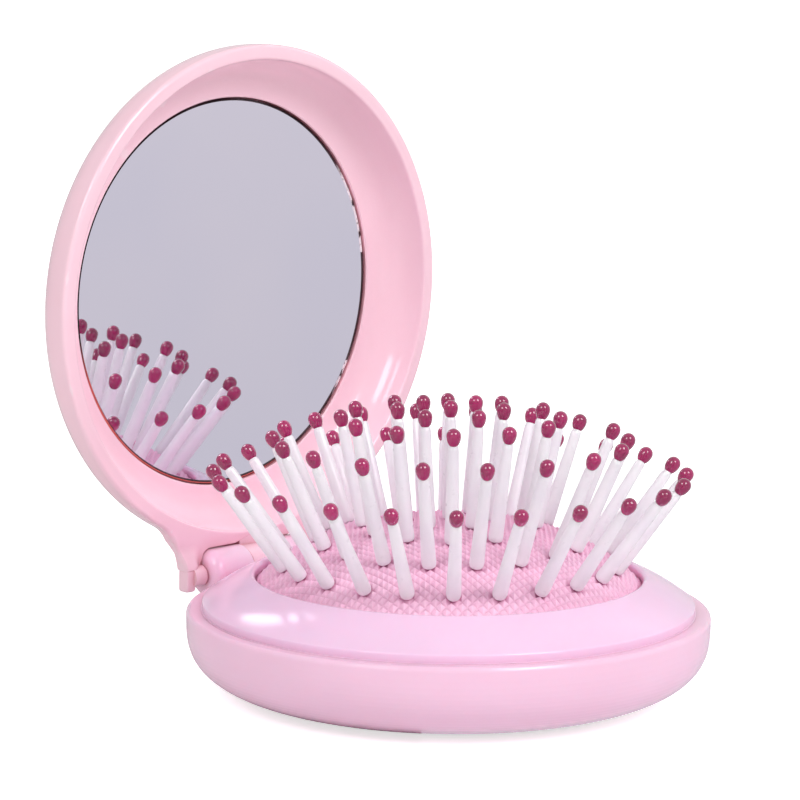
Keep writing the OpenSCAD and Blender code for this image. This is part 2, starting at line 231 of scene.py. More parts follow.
class Tree:
    """A shader node tree that is built call by call."""

    def __init__(self, tree: bpy.types.NodeTree) -> None:
        """Keep the tree to add to."""
        self.tree = tree

    def node(self, kind: str, **settings: object) -> Node:
        """Add a node.

        Args:
            kind: The node's type, without the leading ShaderNode.
            **settings: Attributes to set on it.

        Returns:
            The new node.
        """
        made = self.tree.nodes.new("ShaderNode" + kind)
        for key, value in settings.items():
            setattr(made, key, value)
        return made

    def put(self, source: object, target: Socket) -> None:
        """Link a socket to another, or set a plain value on it."""
        if isinstance(source, Socket):
            self.tree.links.new(source, target)
        else:
            target.default_value = source

    def math(self, operation: str, *values: object, clamp: bool = False) -> Socket:
        """Add a Math node and return its result."""
        made = self.node("Math", operation=operation, use_clamp=clamp)
        for value, socket in zip(values, made.inputs):
            self.put(value, socket)
        return made.outputs[0]

    def mix(self, factor: object, a: object, b: object,
            blend: str = "MIX") -> Socket:
        """Add a colour Mix node and return its result."""
        made = self.node("Mix", data_type="RGBA", blend_type=blend)
        self.put(factor, made.inputs["Factor"])
        self.put(a, made.inputs[6])
        self.put(b, made.inputs[7])
        return made.outputs[2]

    def noise(self, where: object, scale: object, detail: float = 3.0,
              rough: float = 0.5) -> Socket:
        """Add a Noise Texture and return its 0 to 1 value."""
        made = self.node("TexNoise")
        self.put(where, made.inputs["Vector"])
        self.put(scale, made.inputs["Scale"])
        made.inputs["Detail"].default_value = detail
        made.inputs["Roughness"].default_value = rough
        return made.outputs["Fac"]

    def ramp(self, value: object, low: float, high: float, to_low: object = 0.0,
             to_high: object = 1.0) -> Socket:
        """Map a value between two bounds to another pair, clamped."""
        made = self.node("MapRange", clamp=True)
        for source, socket in zip((value, low, high, to_low, to_high), made.inputs):
            self.put(source, socket)
        return made.outputs[0]

    def place(self) -> Socket:
        """Return the point on the surface, in metres in the object's own frame."""
        return self.node("TexCoord").outputs["Object"]


GroupBuilder = Callable[[Tree, Node, Node], None]


def node_group(name: str, inputs: Sequence[tuple[str, str, object]],
               outputs: Sequence[tuple[str, str]], build: GroupBuilder) -> bpy.types.NodeTree:
    """Make a shader node group with named sockets.

    Args:
        name: Name of the group.
        inputs: Name, kind (Float, Color or Vector) and default value of each input.
        outputs: Name and kind of each output.
        build: Fills the group in, given its tree, input node and output node.

    Returns:
        The node group.
    """
    group = bpy.data.node_groups.new(name, "ShaderNodeTree")
    for label, kind, value in inputs:
        socket = group.interface.new_socket(label, in_out="INPUT", socket_type="NodeSocket" + kind)
        socket.default_value = value
    for label, kind in outputs:
        group.interface.new_socket(label, in_out="OUTPUT", socket_type="NodeSocket" + kind)
    build(Tree(group), group.nodes.new("NodeGroupInput"), group.nodes.new("NodeGroupOutput"))
    return group


class Effects:
    """The surface effects that several finishes share."""

    def __init__(self) -> None:
        """Build every group once."""
        self.skin = node_group(
            "moulded_skin",
            [("Roughness", "Float", 0.2), ("Uneven", "Float", 0.04), ("Peel", "Float", 700.0),
             ("Drift", "Float", 45.0)],
            [("Tone", "Float"), ("Roughness", "Float"), ("Height", "Float")], self._skin)
        self.wear = node_group(
            "worn_edges",
            [("Start", "Float", 0.53), ("End", "Float", 0.62), ("Patchy", "Float", 0.5)],
            [("Mask", "Float")], self._wear)
        self.hairlines = node_group(
            "hairlines",
            [("Amount", "Float", 0.3), ("Scale", "Float", 260.0), ("Turn", "Float", 0.6)],
            [("Mask", "Float")], self._hairlines)
        # Painted shade: this group darkens a colour in corners, recesses and gaps that ambient
        # occlusion finds.
        self.shade_in_recesses = node_group(
            "painted_recess_shade",
            [("Reach", "Float", 0.002), ("Color", "Color", (1, 1, 1, 1)),
             ("Deep", "Color", (1, 1, 1, 1)), ("Strength", "Float", 1.0)],
            [("Color", "Color")], self._recess)

    @staticmethod
    def _skin(t: Tree, inp: Node, out: Node) -> None:
        """Fill in the moulded skin: slow colour drift, uneven gloss and faint orange peel."""
        where = t.place()
        slow = t.noise(where, inp.outputs["Drift"], 2.0)
        smear = t.noise(where, t.math("MULTIPLY", inp.outputs["Drift"], 4.0), 4.0, 0.6)
        peel = t.noise(where, inp.outputs["Peel"], 2.0, 0.4)
        swing = t.math("MULTIPLY", t.math("SUBTRACT", smear, 0.5), inp.outputs["Uneven"])
        t.put(slow, out.inputs["Tone"])
        t.put(t.math("ADD", inp.outputs["Roughness"], t.math("MULTIPLY", swing, 2.0)),
              out.inputs["Roughness"])
        t.put(peel, out.inputs["Height"])

    @staticmethod
    def _wear(t: Tree, inp: Node, out: Node) -> None:
        """Fill in the worn edges: a mask along outward edges, broken up by noise."""
        point = t.node("NewGeometry").outputs["Pointiness"]
        made = t.node("MapRange", clamp=True)
        t.put(point, made.inputs[0])
        t.put(inp.outputs["Start"], made.inputs[1])
        t.put(inp.outputs["End"], made.inputs[2])
        patches = t.noise(t.place(), 420.0, 4.0, 0.65)
        broken = t.math("MULTIPLY", t.math("SUBTRACT", patches, 0.5), inp.outputs["Patchy"])
        t.put(t.math("MULTIPLY", made.outputs[0], t.math("ADD", 1.0, broken), clamp=True),
              out.inputs["Mask"])

    @staticmethod
    def _hairlines(t: Tree, inp: Node, out: Node) -> None:
        """Fill in the hairlines: long thin scuffs in two crossing directions."""
        total: object = 0.0
        for angle in (0.0, 1.9):
            turned = t.node("VectorRotate", rotation_type="EULER_XYZ")
            t.put(t.place(), turned.inputs["Vector"])
            spin = t.node("CombineXYZ")
            t.put(t.math("ADD", inp.outputs["Turn"], angle), spin.inputs[2])
            spin.inputs[0].default_value = 0.7 + angle
            t.put(spin.outputs[0], turned.inputs["Rotation"])
            stretch = t.node("VectorMath", operation="MULTIPLY")
            t.put(turned.outputs[0], stretch.inputs[0])
            stretch.inputs[1].default_value = (0.06, 1.0, 1.0)
            streak = t.noise(stretch.outputs[0], t.math("MULTIPLY", inp.outputs["Scale"], 9.0),
                             2.0, 0.4)
            total = t.math("ADD", total, t.ramp(streak, 0.68, 0.76))
        where = t.ramp(t.noise(t.place(), 90.0, 2.0), 0.42, 0.66)
        t.put(t.math("MULTIPLY", t.math("MULTIPLY", total, where), inp.outputs["Amount"],
                     clamp=True), out.inputs["Mask"])

    @staticmethod
    def _recess(t: Tree, inp: Node, out: Node) -> None:
        """Fill in the painted recess shade: where ambient occlusion finds corners hidden, the
        colour turns to the Deep shade colour.
        """
        hidden = t.node("AmbientOcclusion", samples=6)
        t.put(inp.outputs["Reach"], hidden.inputs["Distance"])
        mask = t.math("MULTIPLY", t.math("SUBTRACT", 1.0, hidden.outputs["AO"]),
                      inp.outputs["Strength"], clamp=True)
        t.put(t.mix(mask, inp.outputs["Color"], inp.outputs["Deep"]), out.inputs["Color"])


# ---- finishes ----

def srgb(red: float, green: float, blue: float) -> Rgba:
    """Return the linear RGBA colour of a colour written as 0 to 255 screen values."""
    def one(v: float) -> float:
        """Return one channel in linear light."""
        v /= 255
        return v / 12.92 if v <= 0.04045 else ((v + 0.055) / 1.055) ** 2.4
    return (one(red), one(green), one(blue), 1.0)


class Gloss(Enum):
    """How polished the mould for a plastic piece was."""

    POLISHED = 0.14
    SATIN = 0.32


@dataclass(frozen=True)
class PinkPlastic:
    """Glossy moulded plastic that lets a little light through.

    Attributes:
        name: Name of the material.
        color: Its colour.
        deep: The shade colour that is painted into narrow recesses.
        gloss: How polished the mould was.
        glow: Share of the light that passes under the surface.
        bevel: Width, in millimetres, over which sharp edges are softened; 0 for none.
        reach: Width, in millimetres, of the recesses that get painted shade.
        shade_strength: How strongly shade is painted into the recesses.
    """

    name: str
    color: Rgba
    deep: Rgba
    gloss: Gloss = Gloss.POLISHED
    glow: float = 0.25
    bevel: float = 0.0
    reach: float = 2.5
    shade_strength: float = 0.9

    def make(self, fx: Effects) -> Material:
        """Build the material.

        Args:
            fx: The shared effects.

        Returns:
            The finished material.
        """
        mat, t, shader = new_material(self.name)
        skin = use_group(t, fx.skin, Roughness=self.gloss.value, Uneven=0.05, Peel=900.0)
        lines = use_group(t, fx.hairlines, Amount=0.35)
        wear = use_group(t, fx.wear)
        # Painted shade: the colour turns to the deep shade colour in recesses that ambient
        # occlusion finds.
        recess_shade_node = use_group(t, fx.shade_in_recesses, Reach=self.reach * MM, Deep=self.deep,
                         Strength=self.shade_strength)
        pale = tuple(min(1.0, c * 1.04 + 0.01) for c in self.color[:3]) + (1.0,)
        base = t.mix(t.ramp(skin.outputs["Tone"], 0.3, 0.7), self.color, pale)
        base = t.mix(t.math("MULTIPLY", wear.outputs["Mask"], 0.25), base, (1, 0.95, 0.97, 1))
        t.put(base, recess_shade_node.inputs["Color"])
        t.put(recess_shade_node.outputs["Color"], shader.inputs["Base Color"])
        rough = t.math("ADD", skin.outputs["Roughness"],
                       t.math("MULTIPLY", lines.outputs["Mask"], 0.25))
        rough = t.math("ADD", rough, t.math("MULTIPLY", wear.outputs["Mask"], 0.1), clamp=True)
        t.put(rough, shader.inputs["Roughness"])
        relief(t, shader, skin.outputs["Height"], 0.12, 0.03, self.bevel)
        plain(shader, {"IOR": 1.49, "Subsurface Weight": self.glow,
                       "Subsurface Radius": (1.0, 0.38, 0.45), "Subsurface Scale": 0.003})
        return mat


@dataclass(frozen=True)
class PadRubber:
    """Soft matt rubber under a moulded grain."""

    name: str = "pad_rubber"
    color: Rgba = srgb(247, 194, 222)
    deep: Rgba = srgb(186, 80, 136)

    def make(self, fx: Effects) -> Material:
        """Build the rubber from the shared effects."""
        mat, t, shader = new_material(self.name)
        skin = use_group(t, fx.skin, Roughness=0.5, Uneven=0.08, Peel=2600.0, Drift=70.0)
        # Painted shade in the valleys of the grain, darkening them where the pyramids hide them.
        recess_shade_node = use_group(t, fx.shade_in_recesses, Reach=0.0007, Deep=self.deep, Strength=1.0)
        pale = srgb(251, 205, 230)
        t.put(t.mix(t.ramp(skin.outputs["Tone"], 0.3, 0.7), self.color, pale),
              recess_shade_node.inputs["Color"])
        t.put(recess_shade_node.outputs["Color"], shader.inputs["Base Color"])
        t.put(skin.outputs["Roughness"], shader.inputs["Roughness"])
        relief(t, shader, skin.outputs["Height"], 0.3, 0.04)
        plain(shader, {"IOR": 1.45, "Subsurface Weight": 0.08,
                       "Subsurface Radius": (1.0, 0.35, 0.45), "Subsurface Scale": 0.0006})
        return mat


@dataclass(frozen=True)
class Nylon:
    """Milky bristle nylon with a faint drawn grain."""

    name: str = "bristle_nylon"
    color: Rgba = srgb(244, 242, 246)

    def make(self, fx: Effects) -> Material:
        """Build the nylon from the shared effects."""
        mat, t, shader = new_material(self.name)
        skin = use_group(t, fx.skin, Roughness=0.3, Uneven=0.08, Peel=1800.0, Drift=160.0)
        lines = use_group(t, fx.hairlines, Amount=0.3, Scale=400.0)
        pink = srgb(240, 236, 243)
        # Painted pinkish shade near the roots, where the bristles meet the pad and stand close
        # together.
        recess_shade_node = use_group(t, fx.shade_in_recesses, Reach=0.0004, Deep=srgb(214, 150, 184), Strength=0.35)
        t.put(t.mix(t.ramp(skin.outputs["Tone"], 0.35, 0.65), self.color, pink),
              recess_shade_node.inputs["Color"])
        t.put(recess_shade_node.outputs["Color"], shader.inputs["Base Color"])
        t.put(t.math("ADD", skin.outputs["Roughness"],
                     t.math("MULTIPLY", lines.outputs["Mask"], 0.2), clamp=True),
              shader.inputs["Roughness"])
        relief(t, shader, skin.outputs["Height"], 0.15, 0.03)
        plain(shader, {"IOR": 1.53, "Subsurface Weight": 0.25,
                       "Subsurface Radius": (1.0, 0.8, 0.9), "Subsurface Scale": 0.0015})
        return mat


@dataclass(frozen=True)
class TipResin:
    """Deep berry-red resin that was dipped and fire-polished."""

    name: str = "tip_resin"
    color: Rgba = srgb(170, 0, 92)

    def make(self, fx: Effects) -> Material:
        """Build the resin from the shared effects."""
        mat, t, shader = new_material(self.name)
        skin = use_group(t, fx.skin, Roughness=0.04, Uneven=0.02, Peel=1500.0, Drift=240.0)
        dark = srgb(140, 0, 74)
        t.put(t.mix(t.ramp(skin.outputs["Tone"], 0.35, 0.65), self.color, dark),
              shader.inputs["Base Color"])
        t.put(t.math("MAXIMUM", skin.outputs["Roughness"], 0.03), shader.inputs["Roughness"])
        relief(t, shader, skin.outputs["Height"], 0.1, 0.03)
        plain(shader, {"IOR": 1.5, "Coat Weight": 1.0, "Coat Roughness": 0.02, "Coat IOR": 1.5})
        return mat


@dataclass(frozen=True)
class Silvering:
    """Silvered mirror glass with a trace of haze and wiping marks."""

    name: str = "mirror_silver"
    color: Rgba = srgb(238, 236, 241)

    def make(self, fx: Effects) -> Material:
        """Build the mirror's finish from the shared effects."""
        mat, t, shader = new_material(self.name)
        skin = use_group(t, fx.skin, Roughness=0.015, Uneven=0.01, Peel=500.0, Drift=30.0)
        lines = use_group(t, fx.hairlines, Amount=0.12, Scale=300.0)
        cool = srgb(232, 232, 240)
        t.put(t.mix(t.ramp(skin.outputs["Tone"], 0.3, 0.7), self.color, cool),
              shader.inputs["Base Color"])
        t.put(t.math("ADD", t.math("MAXIMUM", skin.outputs["Roughness"], 0.008),
                     t.math("MULTIPLY", lines.outputs["Mask"], 0.08)),
              shader.inputs["Roughness"])
        shader.inputs["Metallic"].default_value = 1.0
        return mat


@dataclass(frozen=True)
class GroundEdge:
    """The mirror's ground edge, painted dark for the shade in the gap round the glass and the dark
    things it reflects, with painted salmon shade of the pocket wall at the lower left and painted
    white glints on the right.

    Attributes:
        name: Name of the material.
        middle_h: Height of the open mirror's centre, in millimetres.
        shaded_pocket_r: Radius from which the painted salmon shade shows, in millimetres.
        slant: Shares of across and up that tell how far to the lower left a point lies.
        shaded_pocket_span: Where the painted salmon shade starts and is full, to the lower left, in
            millimetres.
        glint_span: Where the painted glints start and are full, to the right, in millimetres.
        gap_drop: How far below the centre the gap between the glints lies, in millimetres.
        gap_half: Half the height of that gap, in millimetres.
    """

    name: str = "mirror_edge"
    middle_h: float = 49.27
    shaded_pocket_r: float = 26.84
    slant: Point2 = (-0.45, 0.9)
    shaded_pocket_span: Point2 = (16.0, 21.0)
    glint_span: Point2 = (21.0, 22.5)
    gap_drop: float = 4.2
    gap_half: float = 7.8

    def make(self, fx: Effects) -> Material:
        """Build the edge's finish from the shared effects."""
        mat, t, shader = new_material(self.name)
        skin = use_group(t, fx.skin, Roughness=0.1, Uneven=0.08, Peel=2400.0, Drift=160.0)
        # Painted shade and reflection: the edge is coloured near black, standing in for the shaded
        # gap round the glass and the dark things the bevel reflects.
        dark = t.mix(t.ramp(skin.outputs["Tone"], 0.45, 0.62), srgb(12, 11, 14),
                     srgb(58, 52, 58))
        split = t.node("SeparateXYZ")
        t.put(t.place(), split.inputs[0])
        up = t.math("SUBTRACT", split.outputs[2], self.middle_h * MM)
        across = split.outputs[0]
        low = t.math("SUBTRACT", t.math("MULTIPLY", across, self.slant[0]),
                     t.math("MULTIPLY", up, self.slant[1]))
        radius = t.math("SQRT", t.math("ADD", t.math("MULTIPLY", up, up),
                                       t.math("MULTIPLY", across, across)))
        # Painted salmon shade of the pink pocket wall along the lower left of the edge.
        shaded_pocket = t.math("MULTIPLY", t.ramp(low, *(v * MM for v in self.shaded_pocket_span)),
                         t.ramp(radius, self.shaded_pocket_r * MM, (self.shaded_pocket_r + 0.04) * MM))
        # Painted white glints on the right side, broken up by noise, with a gap below the centre.
        off_gap = t.math("ABSOLUTE", t.math("ADD", up, self.gap_drop * MM))
        bright = t.math("MULTIPLY", t.ramp(across, *(v * MM for v in self.glint_span)),
                        t.math("GREATER_THAN", off_gap, self.gap_half * MM))
        bright = t.math("MULTIPLY", bright, t.ramp(t.noise(t.place(), 900.0, 2.0), 0.38, 0.5))
        tone = t.mix(shaded_pocket, dark, srgb(226, 112, 104))
        t.put(t.mix(bright, tone, srgb(246, 240, 246)), shader.inputs["Base Color"])
        t.put(skin.outputs["Roughness"], shader.inputs["Roughness"])
        relief(t, shader, skin.outputs["Height"], 0.4, 0.03)
        shader.inputs["IOR"].default_value = 1.52
        return mat


@dataclass(frozen=True)
class BrightSteel:
    """Drawn steel wire for the hinge pin."""

    name: str = "pin_steel"

    def make(self, fx: Effects) -> Material:
        """Build the steel from the shared effects."""
        mat, t, shader = new_material(self.name)
        skin = use_group(t, fx.skin, Roughness=0.28, Uneven=0.12, Peel=1500.0, Drift=300.0)
        lines = use_group(t, fx.hairlines, Amount=0.6, Scale=500.0)
        t.put(t.mix(skin.outputs["Tone"], srgb(190, 190, 194), srgb(214, 212, 210)),
              shader.inputs["Base Color"])
        t.put(t.math("ADD", skin.outputs["Roughness"],
                     t.math("MULTIPLY", lines.outputs["Mask"], 0.2), clamp=True),
              shader.inputs["Roughness"])
        relief(t, shader, lines.outputs["Mask"], 0.2, 0.02)
        shader.inputs["Metallic"].default_value = 1.0
        return mat


@dataclass(frozen=True)
class FoamGlue:
    """White foam tape with open cells."""

    name: str = "adhesive_foam"

    def make(self, fx: Effects) -> Material:
        """Build the foam from the shared effects."""
        mat, t, shader = new_material(self.name)
        skin = use_group(t, fx.skin, Roughness=0.85, Uneven=0.1, Peel=2500.0, Drift=120.0)
        cells = t.node("TexVoronoi", feature="F1")
        t.put(t.place(), cells.inputs["Vector"])
        cells.inputs["Scale"].default_value = 1800.0
        t.put(t.mix(t.ramp(cells.outputs["Distance"], 0.1, 0.6), srgb(226, 220, 214),
                    srgb(246, 243, 238)), shader.inputs["Base Color"])
        t.put(skin.outputs["Roughness"], shader.inputs["Roughness"])
        relief(t, shader, cells.outputs["Distance"], 0.7, 0.2)
        return mat


def new_material(name: str) -> tuple[Material, Tree, Node]:
    """Start a material.

    Args:
        name: Name of the material.

    Returns:
        The material, its node tree and its Principled shader.
    """
    mat = bpy.data.materials.new(name)
    mat.use_nodes = True
    return mat, Tree(mat.node_tree), mat.node_tree.nodes["Principled BSDF"]


def use_group(t: Tree, group: bpy.types.NodeTree, **values: object) -> Node:
    """Place a shared effect in a material.

    Args:
        t: The material's tree.
        group: The effect.
        **values: Values for its inputs, by name.

    Returns:
        The group's node.
    """
    made = t.node("Group", node_tree=group)
    for label, value in values.items():
        t.put(value, made.inputs[label])
    return made


def relief(t: Tree, shader: Node, height: object, strength: float, depth: float,
           bevel: float = 0.0) -> None:
    """Give a shader a fine relief.

    Args:
        t: The material's tree.
        shader: The shader that takes the relief.
        height: Socket with the relief's height.
        strength: Share of the relief that shows.
        depth: Depth of the relief, in millimetres.
        bevel: Width, in millimetres, over which sharp edges are softened; 0 for none.
    """
    bump = t.node("Bump")
    plain(bump, {"Strength": strength, "Distance": depth * MM})
    t.put(height, bump.inputs["Height"])
    if bevel > 0:
        soft = t.node("Bevel", samples=4)
        plain(soft, {"Radius": bevel * MM})
        t.put(soft.outputs[0], bump.inputs["Normal"])
    t.put(bump.outputs[0], shader.inputs["Normal"])


def plain(node: Node, values: dict[str, object]) -> None:
    """Set values that are the same all over on a node's own sockets."""
    for label, value in values.items():
        node.inputs[label].default_value = value


class Finishes:
    """Every finish of the brush, by the slot that the record gives it."""

    def __init__(self) -> None:
        """Build the shared effects and the finishes."""
        fx = Effects()
        # salmon is the painted shade colour for the recesses of the plastics; the lid's painted
        # shade colour is a redder one.
        salmon = srgb(214, 128, 148)
        recipes = (
            PinkPlastic("case_plastic", srgb(246, 200, 224), salmon, bevel=0.2, reach=1.5,
                        shade_strength=0.5),
            PinkPlastic("frame_plastic", srgb(247, 204, 233), salmon, reach=1.2, shade_strength=0.35),
            PinkPlastic("inner_plastic", srgb(228, 186, 212), salmon, Gloss.SATIN, bevel=0.15),
            PinkPlastic("lid_plastic", srgb(249, 208, 221), srgb(208, 108, 122), glow=0.04),
            PinkPlastic("button_plastic", srgb(236, 160, 202), salmon, Gloss.SATIN, bevel=0.2),
            BrightSteel(), Silvering(), GroundEdge(), FoamGlue(), PadRubber(), Nylon(),
            TipResin())
        self.made = {recipe.name: recipe.make(fx) for recipe in recipes}

    def dress(self, piece: Piece, slot: str) -> None:
        """Give a piece the finish of a slot."""
        piece.data.materials.clear()
        piece.data.materials.append(self.made[slot])

    def dress_node(self, node: str, slot: str, smooth: float = 28.0) -> None:
        """Give a CAD node the finish of a slot and soften its facets.

        Args:
            node: Name of the node.
            slot: Slot of the finish.
            smooth: Edges that turn more than this many degrees stay sharp.
        """
        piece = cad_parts[node]
        piece.data.materials.clear()
        piece.data.materials.append(self.made[slot])
        piece.data.shade_smooth()
        piece.data.set_sharp_from_angle(angle=math.radians(smooth))
        log.info("dressed node %s with %s", node, slot)


def add_piece(piece: Piece, finishes: Finishes, slot: str, body: str | None,
              *nodes: str) -> Piece:
    """Dress a new piece, let it ride and say which nodes it stands for.

    Args:
        piece: The piece.
        finishes: The finishes to dress it with.
        slot: Slot of its finish.
        body: Body that carries it; None to leave it on no body.
        *nodes: CAD nodes that it replaces.

    Returns:
        The same piece.
    """
    finishes.dress(piece, slot)
    if body:
        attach(piece, body)
    if nodes:
        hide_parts(*nodes)
    log.info("built %s for %s on %s", piece.name, ", ".join(nodes) or "detail", body)
    return piece


# ---- sub-assemblies ----

@dataclass
class PadDome:
    """The rubber pad's shape, which the bristles share."""

    rim_h: float = 11.2
    opening_r: float = 25.85
    crown_h: float = 12.3
    edge_h: float = 3.6
    fullness: float = 0.49
    thick: float = 1.2

    def height(self, r: float) -> float:
        """Return the height above the rim at a radius."""
        q = r / self.opening_r
        fall = self.crown_h - self.edge_h
        return self.crown_h - fall * ((1 - self.fullness) * q ** 2 + self.fullness * q ** 4)

    def tilt(self, r: float) -> float:
        """Return the slope at a radius, in radians."""
        q = r / self.opening_r
        fall = self.crown_h - self.edge_h
        return math.atan(fall / self.opening_r
                         * (2 * (1 - self.fullness) * q + 4 * self.fullness * q ** 3))


@dataclass
class BaseCase:
    """The base dish with its knuckles, and what is hidden inside it."""

    finishes: Finishes

    def build(self) -> None:
        """Dress the base, its clamp ring and the hinge pin."""
        self.finishes.dress_node("base_shell", "case_plastic", 18.0)
        self.finishes.dress_node("pad_clamp_ring", "inner_plastic")
        self.finishes.dress_node("hinge_pin", "pin_steel")


@dataclass
class FrameRing:
    """The ring that snaps into the base and holds the pad's edge."""

    finishes: Finishes
    dome: PadDome
    outer_r: float = 32.74
    seat_r: float = 32.86
    bulge: float = 0.28
    flank_steps: int = 14
    step_h: float = 1.1
    lip_h: float = 5.02
    lip_round: float = 1.0
    lift: float = 2.4
    segments: int = 288

    def build(self) -> None:
        """Build the ring from its cross-section."""
        r_in = self.dome.opening_r
        corners = [(self.outer_r - 1.4, -4.0), (self.outer_r, -4.0), (self.outer_r, -0.34),
                   (33.04, -0.02), (33.04, 0.09), (self.seat_r, 0.13),
                   (self.seat_r, self.step_h), *self.flank(), (r_in, self.lip_h),
                   (r_in, self.lift), (28.4, self.lift), (28.4, 1.2),
                   (self.outer_r - 1.4, 1.2), (self.outer_r - 1.4, -4.0)]
        radii = [0, 0.2, 0, 0, 0, 0, 0.3, *([0] * self.flank_steps), self.lip_round, 0.15, 0, 0,
                 0.1, 0]
        outline = rounded(corners, radii, 8)[:-1]
        outline = self.subdivided(outline)
        verts, faces = revolve_grid([(r, z + self.dome.rim_h) for r, z in outline],
                                    self.segments, closed=True)
        ring = mesh_piece("frame_ring_looks", verts, faces)
        add_piece(ring, self.finishes, "frame_plastic", "base", "frame_ring")

    def flank(self) -> list[Point2]:
        """Return points along the ring's gently bulging flank, from the step to the lip."""
        start = Vector((self.seat_r, self.step_h))
        end = Vector((self.dome.opening_r, self.lip_h))
        out = Vector((end.y - start.y, start.x - end.x)).normalized()
        points = []
        for k in range(1, self.flank_steps + 1):
            s = 0.86 * k / (self.flank_steps + 1)
            p = start.lerp(end, s) + out * self.bulge * math.sin(math.pi * s)
            points.append((p.x, p.y))
        return points

    @staticmethod
    def subdivided(outline: Sequence[Point2], longest: float = 0.8) -> list[Point2]:
        """Return the outline with its long lines cut into short ones."""
        out: list[Point2] = []
        for a, b in zip(outline, list(outline[1:]) + [outline[0]]):
            count = max(1, math.ceil(math.dist(a, b) / longest))
            out += [(a[0] + (b[0] - a[0]) * k / count, a[1] + (b[1] - a[1]) * k / count)
                    for k in range(count)]
        return out


@dataclass
class RubberPad:
    """The domed rubber membrane with its moulded grain of small pyramids."""

    finishes: Finishes
    dome: PadDome
    side_r: float = 25.78
    pitch: float = 0.95
    grain: float = 0.48

    def build(self) -> None:
        """Build the membrane, its flange and its grain as one piece."""
        parts = [self.grain_sheet(), self.body()]
        verts, faces = joined(parts)
        pad = mesh_piece("bristle_pad_looks", verts, faces, 25.0)
        add_piece(pad, self.finishes, "pad_rubber", None, "bristle_pad")
        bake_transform(pad)

    def body(self) -> Shape:
        """Return the plain membrane under the grain, with its side and flange."""
        rim = self.dome.rim_h
        steps = 40
        skin = 0.03 + self.grain
        top = [(self.side_r * k / steps, self.dome.height(self.side_r * k / steps) - skin)
               for k in range(steps + 1)]
        inner_r = self.side_r - self.dome.thick
        under = [(inner_r * k / steps,
                  self.dome.height(inner_r * k / steps)
                  - self.dome.thick / math.cos(self.dome.tilt(inner_r * k / steps)))
                 for k in range(steps, -1, -1)]
        edge = [(self.side_r, 2.35), (28.2, 2.35), (28.2, 1.25), (inner_r, 1.25)]
        return revolve_grid([(r, z + rim) for r, z in top + edge + under], 144)

    def grain_sheet(self) -> Shape:
        """Return the sheet of pyramids on the dome's outer face."""
        p = self.pitch
        n = int(self.side_r / p) + 2
        verts: list[Point3] = []
        index: dict[tuple[int, int], int] = {}
        faces: Faces = []

        def corner(i: int, j: int) -> int:
            """Return the number of a grid point; odd sums of halves are valleys."""
            if (i, j) not in index:
                x, y = i * p / 2, j * p / 2
                r = math.hypot(x, y)
                if r > self.side_r:
                    x, y, r = x * self.side_r / r, y * self.side_r / r, self.side_r
                peak = i % 2 and j % 2
                z = self.dome.height(r) - (0.0 if peak else self.grain)
                index[(i, j)] = len(verts)
                verts.append((x, y, z + self.dome.rim_h))
            return index[(i, j)]

        for a in range(-n, n):
            for b in range(-n, n):
                i, j = 2 * a, 2 * b
                near = min(math.hypot(x * p / 2, y * p / 2)
                           for x in (i, i + 2) for y in (j, j + 2))
                if near >= self.side_r - 0.05:
                    continue
                ring = [corner(i, j), corner(i + 2, j), corner(i + 2, j + 2), corner(i, j + 2)]
                peak = corner(i + 1, j + 1)
                for k in range(4):
                    faces.append((ring[k], ring[(k + 1) % 4], peak))
        return np.array(verts), faces


@dataclass(frozen=True)
class Circle:
    """One circle of bristles, with figures for how it would give way when the brush is pressed in.

    Attributes:
        name: Name of the circle.
        count: How many bristles stand on it.
        radius: Its radius at the bristles' feet.
        body: Body that carries it.
        anchor: Height, or radius for a circle in groups, that stays in place when shut.
        keep: Share of the height, or of the radial spread, to keep when shut; not used.
        groups: Pieces the circle is cut into; 1 for none.
    """

    name: str
    count: int
    radius: float
    body: str
    anchor: float
    keep: float
    groups: int = 1


